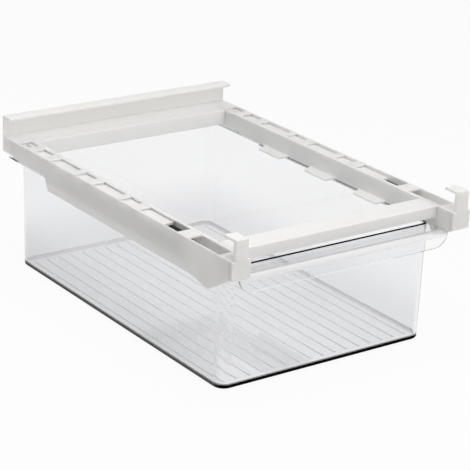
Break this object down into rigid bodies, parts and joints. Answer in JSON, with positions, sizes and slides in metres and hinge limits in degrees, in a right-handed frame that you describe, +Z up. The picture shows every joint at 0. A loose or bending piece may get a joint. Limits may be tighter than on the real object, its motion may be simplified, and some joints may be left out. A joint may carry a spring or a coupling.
{
  "type": "fridge drawer organizer",
  "caption": "White frame that hooks over a fridge shelf's front and back edges, with a clear pull-out drawer hanging under the shelf.",
  "frame": {"origin": "middle of the footprint, on the plane that the bin's floor stands on", "axes": "+X to the right, +Y to the back of the fridge, +Z up; the drawer pulls out towards -Y"},
  "size_m": [0.269, 0.4, 0.159],
  "materials": {
    "frame_plastic": "satin white ABS moulding",
    "clear_plastic": "clear polished styrene, dark at its edges",
    "shoe_rubber": "black rubber",
    "roller_plastic": "natural acetal",
    "axle_steel": "bright stainless pin"
  },
  "bodies": {
    "front_frame": {"rail_right": "frame_plastic", "rail_left": "frame_plastic", "front_crossbar": "frame_plastic", "front_hook_right": "frame_plastic", "front_hook_left": "frame_plastic", "roller_axle_right": "axle_steel", "roller_axle_left": "axle_steel"},
    "rear_frame": {"rear_channel": "frame_plastic", "rear_arm_right": "frame_plastic", "rear_arm_left": "frame_plastic", "arm_shoe_right": "shoe_rubber", "arm_shoe_left": "shoe_rubber"},
    "drawer": {"drawer_bin": "clear_plastic"},
    "roller_wheel_right": {"roller_right": "roller_plastic"},
    "roller_wheel_left": {"roller_left": "roller_plastic"}
  },
  "joints": [
    {"name": "drawer_slide", "type": "slide", "parent": "front_frame", "child": "drawer", "axis": [0, -1, 0], "range_m": [0, 0.265]},
    {"name": "depth_slide", "type": "slide", "parent": "front_frame", "child": "rear_frame", "axis": [0, 1, 0], "range_m": [0, 0.08]},
    {"name": "roller_right_spin", "type": "hinge", "parent": "front_frame", "child": "roller_wheel_right", "pos_m": [0.1267, -0.164, 0.1102], "axis": [1, 0, 0], "continuous": true},
    {"name": "roller_left_spin", "type": "hinge", "parent": "front_frame", "child": "roller_wheel_left", "pos_m": [-0.1267, -0.164, 0.1102], "axis": [1, 0, 0], "continuous": true}
  ],
  "couplings": [
    {"joint": "roller_right_spin", "follows": "drawer_slide", "rad_per_m": 181.82},
    {"joint": "roller_left_spin", "follows": "drawer_slide", "rad_per_m": 181.82}
  ]
}
